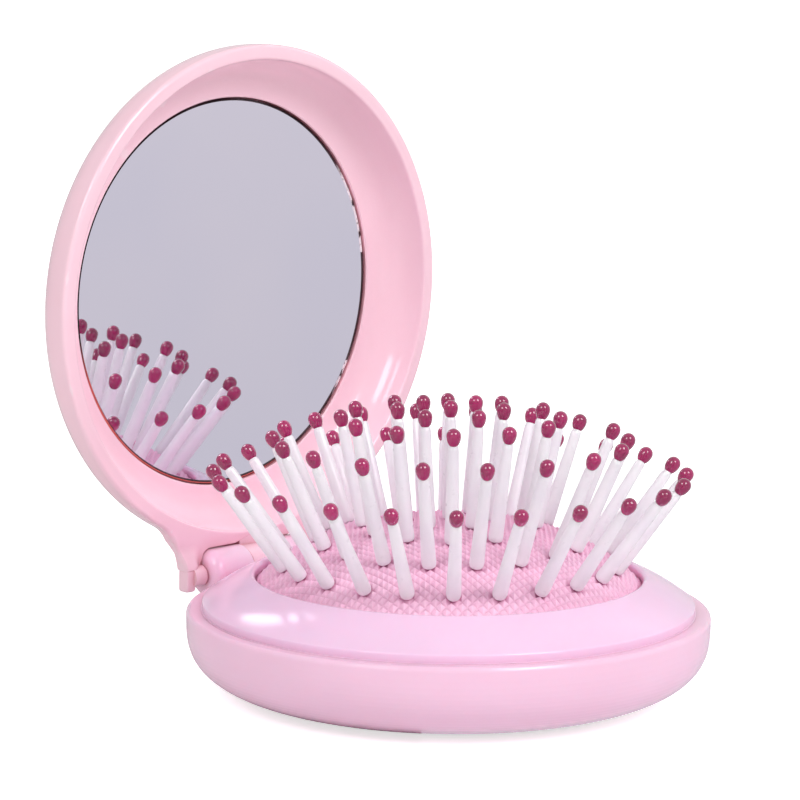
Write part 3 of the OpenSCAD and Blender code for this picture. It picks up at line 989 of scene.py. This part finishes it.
@dataclass
class Brush:
    """The five circles of bristles with a drop of resin on each end."""

    finishes: Finishes
    dome: PadDome
    turn: float = 15.7
    length: float = 14.9
    root_r: float = 0.98
    neck_r: float = 0.72
    tip_r: float = 0.97
    circles: tuple[Circle, ...] = (
        Circle("centre", 1, 0.0, "button", 23.5, 0.84),
        Circle("inner", 6, 5.8, "button", 23.0, 0.84),
        Circle("third", 12, 11.5, "button", 30.0, 0.78),
        Circle("second", 18, 17.6, "button", 31.5, 0.76),
        Circle("outer", 24, 22.6, "outer_bristles", 20.6, 0.352, groups=12))

    def build(self) -> None:
        """Build the bristles and their tips, one piece of each for a circle."""
        stem = revolve_grid(self.stem_outline(), 28)
        drop = revolve_grid(self.drop_outline(), 32)
        for circle in self.circles:
            suffix = "" if circle.count == 1 else "s"
            each = circle.count // circle.groups
            for group in range(circle.groups):
                spots = [self.spot(circle, group * each + k) for k in range(each)]
                for kind, shape, slot in (("pin", stem, "bristle_nylon"),
                                          ("tip", drop, "tip_resin")):
                    node = f"{kind}{suffix}_{circle.name}"
                    label = f"{node}_looks" + (f"_{group + 1:02}" if circle.groups > 1 else "")
                    verts, faces = joined([(placed(shape[0], m), shape[1]) for m in spots])
                    piece = mesh_piece(label, verts, faces, 50.0)
                    add_piece(piece, self.finishes, slot, circle.body, node)
                    self.give_way(piece, circle, group)

    def give_way(self, piece: Piece, circle: Circle, group: int) -> None:
        """Give a piece its own copy of its mesh, after working out the axis and anchor it would
        draw in about.
        """
        if circle.groups == 1:
            axis, anchor = Vector((0, 0, 1)), Vector((0, 0, circle.anchor))
        else:
            each = circle.count / circle.groups
            a = math.radians(self.turn + 360 * (group * each + (each - 1) / 2) / circle.count)
            axis = Vector((math.cos(a), math.sin(a), 0))
            anchor = axis * circle.anchor
        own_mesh(piece)

    def spot(self, circle: Circle, k: int) -> Matrix:
        """Return the place of one bristle's root, +Z along the bristle."""
        radius = circle.radius
        a = math.radians(self.turn + 360 * k / circle.count)
        foot = (radius * math.cos(a), radius * math.sin(a),
                self.dome.rim_h + self.dome.height(radius))
        return (Matrix.Translation(foot) @ Matrix.Rotation(a, 4, "Z")
                @ Matrix.Rotation(self.dome.tilt(radius), 4, "Y"))

    def stem_outline(self) -> list[Point2]:
        """Return a bristle's outline: a round foot and a long taper."""
        end = self.length - 1.1
        corners = [(0.0, -0.1), (self.root_r - 0.1, -0.1), (self.root_r, 0.55),
                   (self.neck_r, end - 0.6), (0.48, end), (0.0, end)]
        return rounded(corners, [0, 0.3, 1.2, 0.5, 0, 0], 5)

    def drop_outline(self) -> list[Point2]:
        """Return a tip's outline: round on top and drawn in round the bristle."""
        top = [(self.tip_r * math.sin(a), 1.0 * math.cos(a) - 0.04)
               for a in (math.radians(90 * k / 9) for k in range(10))]
        low = [(self.tip_r * math.cos(a) ** 0.85, -0.04 - 1.5 * math.sin(a))
               for a in (math.radians(86 * k / 14) for k in range(1, 15))]
        return [(r, z + self.length) for r, z in top + low + [(0.0, -1.54)]]


@dataclass
class LidEdge:
    """The lid's outline in plan: the round case, its flare towards the hinge and the notch."""

    case_r: float = 35.0
    half: float = 13.5
    edge_y: float = 36.9
    flare_r: float = 9.0
    notch_half: float = 10.06
    notch_y: float = 34.44
    corner: tuple[float, float, float] = (8.2, 36.3, 1.86)
    leg_in: float = 11.9

    def foot(self, x: np.ndarray | float) -> np.ndarray | float:
        """Return how far the flare runs towards the hinge beside the notch."""
        return 36.35 + 0.3 * (x - self.notch_half)

    def flare_centre(self) -> Point2:
        """Return the centre of the arc that the flare follows."""
        cx = self.half + self.flare_r
        return cx, math.sqrt((self.case_r + self.flare_r) ** 2 - cx ** 2)

    def side(self, y: float) -> float:
        """Return the flare's half width at a distance from the centre."""
        cx, cy = self.flare_centre()
        if y >= cy:
            return self.half
        return cx - math.sqrt(self.flare_r ** 2 - (y - cy) ** 2)

    def inside(self, x: np.ndarray, y: np.ndarray) -> np.ndarray:
        """Return where points lie within the lid's outline."""
        x = np.abs(x)
        cx, cy = self.flare_centre()
        touch = cx * self.case_r / (self.case_r + self.flare_r)
        disc = np.hypot(x, y) <= self.case_r
        flare = (x <= touch) & (y <= min(cy, self.edge_y)) & (y > 28) \
            & (np.hypot(x - cx, y - cy) >= self.flare_r)
        qx, qy, qr = self.corner
        notch = ((x < self.notch_half) & (y > qy)) | ((x < qx) & (y > self.notch_y)) \
            | (np.hypot(x - qx, y - qy) < qr) \
            | ((x < self.leg_in) & (y > self.foot(x)))
        return (disc | flare) & ~(notch & (y > 30))

    def reach(self, angles: np.ndarray) -> np.ndarray:
        """Return the edge's distance from the centre at angles from the hinge's side."""
        steps = np.arange(33.4, 43.0, 0.005)
        x = steps[None, :] * np.sin(angles)[:, None]
        y = steps[None, :] * np.cos(angles)[:, None]
        out = ~self.inside(x, y)
        first = np.where(out.any(axis=1), out.argmax(axis=1), len(steps) - 1)
        return steps[np.maximum(first - 1, 0)]


@dataclass
class MirrorLid:
    """The lid with its mirror, drawn shut and turned open."""

    finishes: Finishes
    edge: LidEdge = field(default_factory=LidEdge)
    axis_y: float = 38.0
    axis_h: float = 11.28
    lip_h: float = 11.36
    open_angle: float = 89.3
    depth: float = 9.0
    foot_r: float = 20.5
    fullness: float = 3.24
    edge_round: float = 0.6
    merge: float = 4.2
    lip_in: float = 32.95
    ring_r: float = 28.2
    ring_h: float = 6.2
    pocket_r: float = 27.3
    pocket_h: float = 7.81
    tongue_half: float = 2.8
    mirror_r: float = 27.1
    mirror_set: float = 6.46
    mirror_t: float = 1.1
    bevel_shift: Point2 = (-0.24, -0.1)
    bevel_w: float = 0.38
    bevel_h: float = 0.22
    leg_half: float = 0.95
    leg_end: float = 40.0
    leg_foot: float = 0.42
    flare_from: float = 33.0
    flare_swell: float = 1.1
    flare_back: float = 12.25
    boss_r: float = 1.5
    boss_w: float = 2.2
    boss_in: float = 10.1
    bar_r: float = 3.2
    heel_near: float = 1.4
    heel_far: float = 3.2
    heel_drop: float = 2.88
    block_y: float = 33.2

    def opened(self) -> Matrix:
        """Return the turn from shut to open about the hinge."""
        axis = Matrix.Translation((0, self.axis_y, self.axis_h))
        return axis @ Matrix.Rotation(math.radians(-self.open_angle), 4, "X") @ axis.inverted()

    def build(self) -> None:
        """Build the lid's shell and the mirror with its polished bevel."""
        verts, faces = joined([self.shell(), *self.tongue(), *self.legs(), *self.bosses()])
        shell = mesh_piece("lid_shell_looks", placed(verts, self.opened()), faces, 40.0)
        add_piece(shell, self.finishes, "lid_plastic", "lid", "lid_shell")
        self.finishes.dress_node("mirror_adhesive", "adhesive_foam")
        front = self.lip_h + self.mirror_set
        back = front + self.mirror_t
        face_r = self.mirror_r - self.bevel_w
        outline = [(0.0, front), (13.0, front), (face_r, front),
                   (self.mirror_r, front + self.bevel_h), (self.mirror_r, back), (0.0, back)]
        verts, faces = revolve_grid(rounded(outline, [0, 0, 0, 0.08, 0.1, 0], 4), 288)
        face = (np.abs(verts[:, 2] - front) < 1e-6)
        verts[face, :2] += np.array(self.bevel_shift)
        glass = mesh_piece("mirror_glass_looks", placed(verts, self.opened()), faces, 8.0)
        add_piece(glass, self.finishes, "mirror_silver", "lid", "mirror_glass")
        glass.data.materials.append(self.finishes.made["mirror_edge"])
        normal = self.opened().to_3x3() @ Vector((0, 0, -1))
        for polygon in glass.data.polygons:
            polygon.material_index = 0 if abs(polygon.normal @ normal) > 0.999 else 1

    def dish_r(self, down: np.ndarray | float) -> np.ndarray | float:
        """Return the outside radius of the round dish at a depth behind the lip."""
        u = np.clip((down - self.edge_round) / (self.depth - self.edge_round), 0, 1)
        return self.foot_r + (self.edge.case_r - self.foot_r) * np.sqrt(1 - u ** self.fullness)

    def shell(self) -> Shape:
        """Return the dish, its lip and the skirt that runs out to the hinge."""
        fine = np.radians(np.arange(-34.0, 34.0, 0.2))
        coarse = np.radians(np.arange(34.0, 326.0, 1.0))
        angles = np.concatenate([fine, coarse])
        reach = self.edge.reach(angles)
        spread = np.clip(np.abs(reach - self.edge.case_r) / 1.2, 0, 1)
        near = np.abs(np.arctan2(np.sin(angles), np.cos(angles)))
        in_notch = near < math.radians(15.6)
        skirt = np.where(in_notch, 1.0, spread * spread * (3 - 2 * spread))
        soft = np.where(in_notch, 0.14,
                        np.interp(np.degrees(near), [22.5, 27.5], [0.35, 1.1])
                        * skirt + self.edge_round * (1 - skirt))
        rows: list[tuple[np.ndarray, np.ndarray]] = []

        def row(r: np.ndarray | float, down: np.ndarray | float) -> None:
            """Add one row of points round the lid."""
            rows.append((np.broadcast_to(r, angles.shape), np.broadcast_to(down, angles.shape)))

        for r, down in ((0.0, self.pocket_h), (14.0, self.pocket_h),
                        (self.pocket_r, self.pocket_h), (self.pocket_r, self.ring_h + 0.15),
                        (self.pocket_r + 0.15, self.ring_h)):
            row(r, down)
        for k in range(25):
            a = math.pi / 2 * (1 - k / 24)
            row(self.ring_r + (self.lip_in - self.ring_r) * math.cos(a),
                0.3 + (self.ring_h - 0.3) * math.sin(a))
        for k in range(1, 5):
            a = math.pi / 2 * k / 4
            row(self.lip_in + 0.3 * (1 - math.cos(a)), 0.3 * (1 - math.sin(a)))
        inner = self.lip_in + 0.3
        for k in range(1, 4):
            row(inner + (reach - soft - inner) * k / 4, 0.0)
        for k in range(9):
            a = math.pi / 2 * k / 8
            row(reach - soft + soft * math.sin(a), soft * (1 - math.cos(a)))
        end_r = self.dish_r(self.merge)
        top = self.skirt_depth(reach)
        top = np.where(in_notch, np.interp(reach, [34.4, 36.6], [2.9, 2.3]), top)
        round_r = self.axis_y - self.edge.notch_y
        hug = np.where(in_notch, np.clip((9.6 - reach * np.sin(near)) / 1.5, 0, 1), 0)
        for k in range(1, 19):
            s = k / 18
            if s <= 0.4:
                sd = soft + (top - soft) * s / 0.4
                sr = reach + hug * (round_r - np.sqrt(round_r ** 2 - sd ** 2))
                wall = sr
            else:
                q = (s - 0.4) / 0.6
                sr = wall + (end_r - wall) * q
                along = np.where(in_notch, top, self.skirt_depth(sr))
                sd = along * (1 - q ** 2) + self.merge * q ** 2
            down = soft + (self.merge - soft) * s
            row(skirt * sr + (1 - skirt) * self.dish_r(down),
                skirt * sd + (1 - skirt) * down)
        for k in range(1, 33):
            u0 = (self.merge - self.edge_round) / (self.depth - self.edge_round)
            u = math.sin(math.asin(u0) + (math.pi / 2 - math.asin(u0)) * k / 32)
            down = self.edge_round + (self.depth - self.edge_round) * u
            row(self.dish_r(down), down)
        row(self.foot_r * 0.5, self.depth)
        row(0.0, self.depth)
        verts = np.concatenate([np.stack([r * np.sin(angles), r * np.cos(angles),
                                          self.lip_h + d], axis=1) for r, d in rows])
        return verts, quads(len(rows), len(angles))

    @staticmethod
    def skirt_depth(r: np.ndarray) -> np.ndarray:
        """Return how deep the skirt is at a distance from the centre."""
        return np.interp(r, [34.4, 35.6, 37.4, 42.0], [3.6, 2.4, 1.15, 0.95])

    def legs(self) -> list[Shape]:
        """Return both legs and the flares that swell forward into them."""
        return [self.mirrored(part, side) for part in (self.leg(), self.flare())
                for side in (-1, 1)]

    @staticmethod
    def mirrored(part: Shape,
                 side: int) -> Shape:
        """Return a part of the +X side, or its mirror image for side -1."""
        return part[0] * np.array([side, 1, 1]), part[1]

    def leg(self) -> Shape:
        """Return the leg on the +X side: a post with a flat foot and round corners."""
        half_t, end_y, foot_r = self.leg_half, self.leg_end, self.leg_foot
        stations = [(36.0, 0.7, 0.2), (36.6, 0.2, 0.02), (37.2, 0.0, 0.0),
                    (end_y - foot_r, 0.0, 0.0)]
        for k in range(1, 7):
            a = math.pi / 2 * k / 6
            drawn_in = foot_r * (1 - math.cos(a))
            stations.append((end_y - foot_r + foot_r * math.sin(a), drawn_in, drawn_in * 0.7))
        return loft([[(x, y, z) for x, z in rounded_box(
            self.edge.leg_in + inset, self.axis_h - half_t + drawn_in,
            self.edge.half - inset, self.axis_h + half_t - drawn_in * 0.6, 0.25, 5)]
            for y, drawn_in, inset in stations])

    def flare(self) -> Shape:
        """Return the flare's swelling front on the +X side, above the leg."""
        first, last = self.flare_from, self.edge.edge_y
        rings = []
        for k in range(25):
            y = first + (last - first) * k / 24
            s = (k / 24) ** 1.4
            s = s * s * (3 - 2 * s)
            x_in = self.edge.notch_half + 0.12
            if y > self.edge.foot(x_in):
                x_in += (y - self.edge.foot(x_in)) / 0.3
            x_in = min(x_in, self.edge.leg_in - 0.05)
            x_out = self.edge.side(y)
            ring = []
            for j in range(17):
                x = x_in + (x_out - x_in) * j / 16
                w = min(1.0, max(0.0, (x - self.edge.notch_half) / 1.9))
                z = self.lip_h + 0.02 - self.flare_swell * s * w * w * (3 - 2 * w)
                near = max(0.0, 1 - (x_out - x) / 0.45)
                z += 0.45 * (1 - math.sqrt(1 - near ** 2)) * 0.85
                ring.append((x, y, z))
            rings.append(ring + [(x_out, y, self.flare_back), (x_in, y, self.flare_back)])
        tail = [(x, last + 0.1, z + 0.12) for x, _, z in rings[-1]]
        return loft([*rings, tail])

    def bosses(self) -> list[Shape]:
        """Return the round bosses between the legs and the knuckles."""
        outline = [(0, 0), (self.boss_r, 0), (self.boss_r, self.boss_w), (0, self.boss_w)]
        shape, faces = revolve_grid(rounded(outline, [0, 0.2, 0, 0], 4), 48)
        return [(placed(shape, Matrix.Translation((side * self.boss_in, self.axis_y, self.axis_h))
                        @ Matrix.Rotation(side * math.pi / 2, 4, "Y")), faces)
                for side in (-1, 1)]

    def tongue(self) -> list[Shape]:
        """Return the middle tongue: its round bar, its block and the heel that stops the lid."""
        r, y, z = self.bar_r, self.axis_y, self.axis_h
        near, far, low = y + self.heel_near, y + self.heel_far, z - self.heel_drop
        bar = [(y + r * math.sin(a), z + r * math.cos(a))
               for a in (2 * math.pi * k / 48 for k in range(48))]
        heel = [(near, z), (far, z), (far, low), (near, low)]
        block = [(self.block_y, self.lip_h + 0.03), (y, self.lip_h + 0.03), (y, z + r),
                 (self.block_y, z + r + 0.4)]
        return [self.slab(profile) for profile in (bar, heel, block)]

    def slab(self, profile: Sequence[Point2],
             inset: float = 0.12) -> Shape:
        """Return a convex (y, z) profile as wide as the tongue, its two edges chamfered."""
        centre = np.mean(np.array(profile), axis=0)
        half = self.tongue_half
        sections = [(-half, 1), (-half + inset, 0), (half - inset, 0), (half, 1)]
        rings = []
        for x, drawn_in in sections:
            ring = []
            for point in profile:
                arm = np.array(point) - centre
                arm = arm * (1 - drawn_in * inset / np.linalg.norm(arm))
                ring.append((x, centre[0] + arm[0], centre[1] + arm[1]))
            rings.append(ring)
        return loft(rings)


@dataclass
class PushButton:
    """The button under the pad that pops the brush out."""

    finishes: Finishes

    def build(self) -> None:
        """Dress the button."""
        self.finishes.dress_node("push_button", "button_plastic")


# ---- studio ----

@dataclass
class Studio:
    """Floor, light and camera.

    Attributes:
        view_turn: Turn of the camera round the brush, in degrees.
        aim: The camera's yaw, pitch and roll before that turn, in degrees.
        stand: The camera's place before that turn, in millimetres.
        lens: Its focal length, in millimetres.
        surround: Strength of the white surroundings.
        sheen: What glossy rays see on top of that.
        floor_h: Height of the floor, in millimetres.
        floor_glow: How much the floor glows for the rays that see the background.
        grey: Brightness of the card that the mirror looks at.
        card_middle: Point that the card faces, in millimetres.
        card_facing: Direction in which the card lies from there.
        card_away: Its distance from there, in millimetres.
    """

    view_turn: float = 45.88
    aim: Point3 = (-0.74, 9.19, 0.58)
    stand: Point3 = (-0.32, -497.28, 119.74)
    lens: float = 171.196
    surround: float = 0.46
    sheen: float = 0.25
    floor_h: float = -0.03
    floor_glow: float = 0.66
    grey: float = 0.67
    card_middle: Point3 = (0.0, 43.8, 49.0)
    card_facing: Point3 = (0.669, -0.735, 0)
    card_away: float = 190

    def build(self) -> None:
        """Build the whole studio."""
        self.camera()
        self.world()
        self.floor()
        self.lamp("softbox_left", (-0.80, -0.12, 0.68), 0.36, 2.6)
        self.lamp("softbox_right", (-0.03, -0.80, 0.74), 0.46, 5.0)
        self.lamp("softbox_fill", (0.85, -0.30, 0.50), 0.8, 1.8)
        self.lamp("catch_left", (-0.80, -0.12, 0.68), 0.3, 2.2, gloss_only=True)
        self.lamp("catch_right", (-0.03, -0.80, 0.74), 0.42, 9.0, gloss_only=True)
        self.card()
        scene = bpy.context.scene
        scene.view_settings.view_transform = "Standard"

    def camera(self) -> None:
        """Place the camera at the chosen viewing angle."""
        yaw, pitch, roll = (math.radians(v) for v in self.aim)
        forward = Vector((math.sin(yaw) * math.cos(pitch), math.cos(yaw) * math.cos(pitch),
                          -math.sin(pitch)))
        right = Vector((math.cos(yaw), -math.sin(yaw), 0))
        up = right.cross(forward)
        right, up = (right * math.cos(roll) + up * math.sin(roll),
                     up * math.cos(roll) - right * math.sin(roll))
        turn = Matrix.Rotation(math.radians(-self.view_turn), 3, "Z")
        place = turn @ Vector(self.stand) * MM
        columns = [turn @ right, turn @ up, turn @ -forward]
        camera = bpy.data.cameras.new("camera")
        camera.lens = self.lens
        camera.sensor_width = 36
        camera.clip_start = 0.01
        camera.clip_end = 30
        holder = bpy.data.objects.new("camera", camera)
        matrix = Matrix(columns).transposed().to_4x4()
        matrix.translation = place
        holder.matrix_world = matrix
        bpy.context.scene.collection.objects.link(holder)
        bpy.context.scene.camera = holder

    @staticmethod
    def seen(t: Tree) -> Socket:
        """Return 1 for the rays that see the background: camera and glass rays."""
        path = t.node("LightPath")
        return t.math("ADD", path.outputs["Is Camera Ray"],
                      path.outputs["Is Transmission Ray"], clamp=True)

    def world(self) -> None:
        """Make the even white surroundings."""
        world = bpy.data.worlds.new("surroundings")
        world.use_nodes = True
        bpy.context.scene.world = world
        t = Tree(world.node_tree)
        background = world.node_tree.nodes["Background"]
        background.inputs["Color"].default_value = (1, 1, 1, 1)
        gloss = t.node("LightPath").outputs["Is Glossy Ray"]
        unseen = t.math("ADD", self.surround, t.math("MULTIPLY", gloss, self.sheen))
        t.put(t.ramp(self.seen(t), 0.0, 1.0, unseen, 1.0), background.inputs["Strength"])

    def floor(self) -> None:
        """Lay the pale floor, which stays white and keeps a soft shadow."""
        verts = np.array([(x * 4000, y * 4000, self.floor_h)
                          for x, y in ((-1, -1), (1, -1), (1, 1), (-1, 1))])
        floor = mesh_piece("floor", verts, [(0, 1, 2, 3)])
        mat, t, shader = new_material("floor_paint")
        fine = t.noise(t.place(), 30.0, 3.0)
        t.put(t.mix(fine, (0.86, 0.86, 0.86, 1), (0.9, 0.9, 0.9, 1)), shader.inputs["Base Color"])
        shader.inputs["Roughness"].default_value = 0.9
        glow = t.node("Emission")
        t.put(t.math("MULTIPLY", self.seen(t), self.floor_glow), glow.inputs["Strength"])
        blend = t.node("AddShader")
        t.put(shader.outputs[0], blend.inputs[0])
        t.put(glow.outputs[0], blend.inputs[1])
        t.put(blend.outputs[0], mat.node_tree.nodes["Material Output"].inputs["Surface"])
        floor.data.materials.append(mat)

    @staticmethod
    def lamp(name: str, place: Point3, size: float, power: float,
             gloss_only: bool = False) -> None:
        """Hang one softbox that looks at the brush.

        Args:
            name: Name of the lamp.
            place: Its place, in metres.
            size: Its width, in metres.
            power: Its power, in watts.
            gloss_only: Whether it shows in highlights only and adds no light otherwise.
        """
        light = bpy.data.lights.new(name, "AREA")
        light.size = size
        light.energy = power
        holder = bpy.data.objects.new(name, light)
        holder.location = place
        aim = Vector((0, 0.01, 0.03)) - holder.location
        holder.rotation_euler = aim.to_track_quat("-Z", "Y").to_euler()
        if gloss_only:
            holder.visible_diffuse = False
        bpy.context.scene.collection.objects.link(holder)

    def card(self) -> None:
        """Stand the grey card that the mirror looks at, hidden from everything but gloss."""
        out = Vector(self.card_facing).normalized()
        side = Vector((-out.y, out.x, 0))
        centre = Vector(self.card_middle) + out * self.card_away
        corners = []
        for out_by, u, z in ((0, -130, 260), (0, 130, 260), (0, 130, 0.5), (0, -130, 0.5),
                             (-160, 130, 0.5), (-160, -130, 0.5)):
            corner = centre + side * u + out * out_by
            corners.append((corner.x, corner.y, z))
        card = mesh_piece("grey_card", np.array(corners), [(0, 1, 2, 3), (3, 2, 4, 5)])
        mat, t, shader = new_material("grey_card")
        glow = t.node("Emission")
        split = t.node("SeparateXYZ")
        t.put(t.place(), split.inputs[0])
        shade = t.ramp(split.outputs[2], 0.0, 0.15, self.grey, self.grey * 1.12)
        tone = t.node("CombineColor")
        t.put(shade, tone.inputs[0])
        t.put(t.math("MULTIPLY", shade, 0.955), tone.inputs[1])
        t.put(t.math("MULTIPLY", shade, 1.05), tone.inputs[2])
        t.put(tone.outputs[0], glow.inputs["Color"])
        t.put(glow.outputs[0], mat.node_tree.nodes["Material Output"].inputs["Surface"])
        card.data.materials.append(mat)
        card.visible_camera = False
        card.visible_diffuse = False
        card.visible_shadow = False
        card.visible_transmission = False


def main() -> None:
    """Build the studio and the brush."""
    logging.basicConfig(level=logging.INFO, format="%(name)s: %(message)s")
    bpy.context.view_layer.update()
    Studio().build()
    finishes = Finishes()
    dome = PadDome()
    BaseCase(finishes).build()
    FrameRing(finishes, dome).build()
    RubberPad(finishes, dome).build()
    Brush(finishes, dome).build()
    MirrorLid(finishes).build()
    PushButton(finishes).build()


if __name__ == "__main__":
    main()
